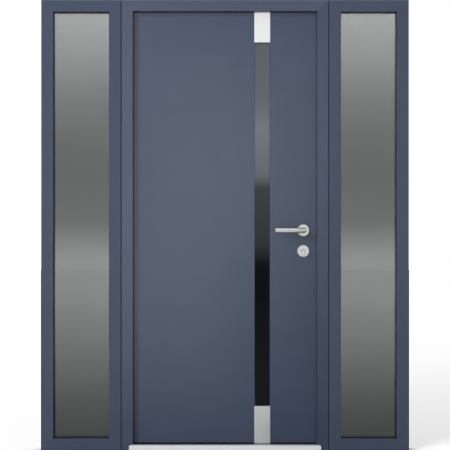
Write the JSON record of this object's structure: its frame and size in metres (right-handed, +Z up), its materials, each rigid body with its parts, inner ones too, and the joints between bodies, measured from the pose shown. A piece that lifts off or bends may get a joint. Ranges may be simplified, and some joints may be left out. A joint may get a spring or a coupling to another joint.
{
  "type": "door with sidelights",
  "caption": "Entrance door in a slate frame between fixed glazed sidelights, with a tall glass strip in the leaf, a lever handle, a key lock and a low metal threshold.",
  "frame": {"origin": "on the floor, at the middle of the threshold's underside and of the frame's depth", "axes": "+Z up, outside towards -Y, +X to the right seen from outside"},
  "size_m": [1.656, 0.189, 2.032],
  "materials": {
    "frame_paint": "satin",
    "leaf_paint": "satin",
    "tinted_glass": "gloss",
    "dark_glass": "gloss",
    "spacer": "matte",
    "rubber": "matte",
    "anodised": "satin",
    "stainless": "satin",
    "lock_steel": "satin",
    "core": "matte"
  },
  "bodies": {
    "frame": {"left_outer_stile": "frame_paint", "left_inner_stile": "frame_paint", "left_head": "frame_paint", "left_sill": "frame_paint", "left_beads": "frame_paint", "left_glass": "tinted_glass", "right_outer_stile": "frame_paint", "right_inner_stile": "frame_paint", "right_head": "frame_paint", "right_sill": "frame_paint", "right_beads": "frame_paint", "right_glass": "tinted_glass", "sidelight_spacers": "spacer", "threshold_insert": "spacer", "sidelight_gaskets": "rubber", "hinge_jamb": "frame_paint", "lock_jamb": "frame_paint", "frame_head": "frame_paint", "jamb_feet": "frame_paint", "hinge_frame_halves": "frame_paint", "coupling_strips": "rubber", "frame_seal": "rubber", "threshold": "anodised", "strike_plates": "stainless", "hinge_pins": "stainless"},
    "leaf": {"leaf_outer_skin": "leaf_paint", "leaf_inner_skin": "leaf_paint", "strip_beads": "leaf_paint", "hinge_leaf_halves": "leaf_paint", "leaf_core": "core", "strip_glass": "dark_glass", "strip_spacer": "spacer", "strip_seal": "rubber", "bottom_seal": "rubber", "top_plate": "stainless", "bottom_plate": "stainless", "lever_roses": "stainless", "cylinder_rosettes": "stainless", "lock_faceplate": "stainless", "lock_cylinder": "lock_steel", "lock_bolts": "lock_steel"},
    "lever": {"outer_lever": "stainless", "inner_lever": "stainless", "spindle": "lock_steel"}
  },
  "joints": [
    {"name": "door_swing", "type": "hinge", "parent": "frame", "child": "leaf", "pos_m": [-0.43075, 0.056, 1.013], "axis": [0, 0, 1], "range_deg": [0, 105]},
    {"name": "lever_turn", "type": "hinge", "parent": "leaf", "child": "lever", "pos_m": [0.354, -0.018, 0.993], "axis": [0, -1, 0], "range_deg": [0, 45], "stiffness_Nm_per_rad": 0.8, "springref_deg": -28.65}
  ]
}
